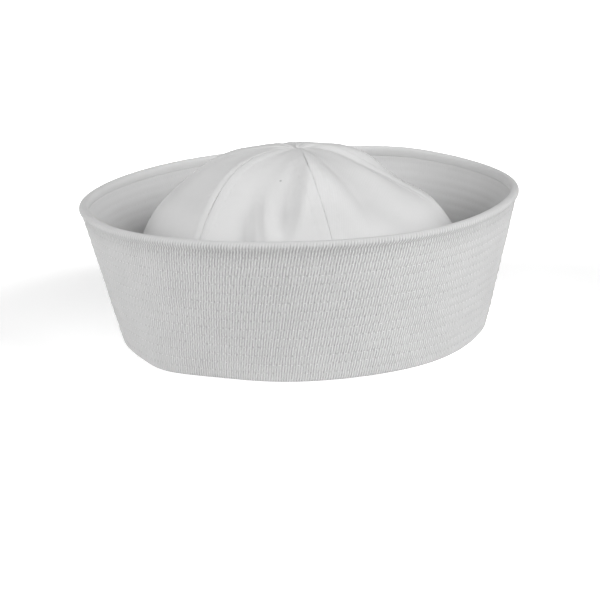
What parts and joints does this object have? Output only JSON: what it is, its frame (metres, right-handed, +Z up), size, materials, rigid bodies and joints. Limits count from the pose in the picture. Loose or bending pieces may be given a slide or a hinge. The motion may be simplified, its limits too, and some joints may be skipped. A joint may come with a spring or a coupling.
{
  "type": "sailor cap",
  "caption": "White cotton sailor cap with a soft gored dome crown inside a tall upturned brim stitched in level rows; worn on the head.",
  "frame": {"origin": "middle of the cap on the surface it rests on", "axes": "+Z up along the cap's axis, -Y towards the front seam of the crown"},
  "size_m": [0.2254, 0.2254, 0.0966],
  "materials": {
    "brim_cloth": "matte white cotton twill, stitched in rows",
    "crown_cloth": "matte white cotton twill"
  },
  "bodies": {
    "root": {"brim_outer": "brim_cloth", "brim_inner": "brim_cloth", "crown_panel_1": "crown_cloth", "crown_panel_2": "crown_cloth", "crown_panel_3": "crown_cloth", "crown_panel_4": "crown_cloth", "crown_panel_5": "crown_cloth", "crown_panel_6": "crown_cloth"}
  },
  "joints": []
}
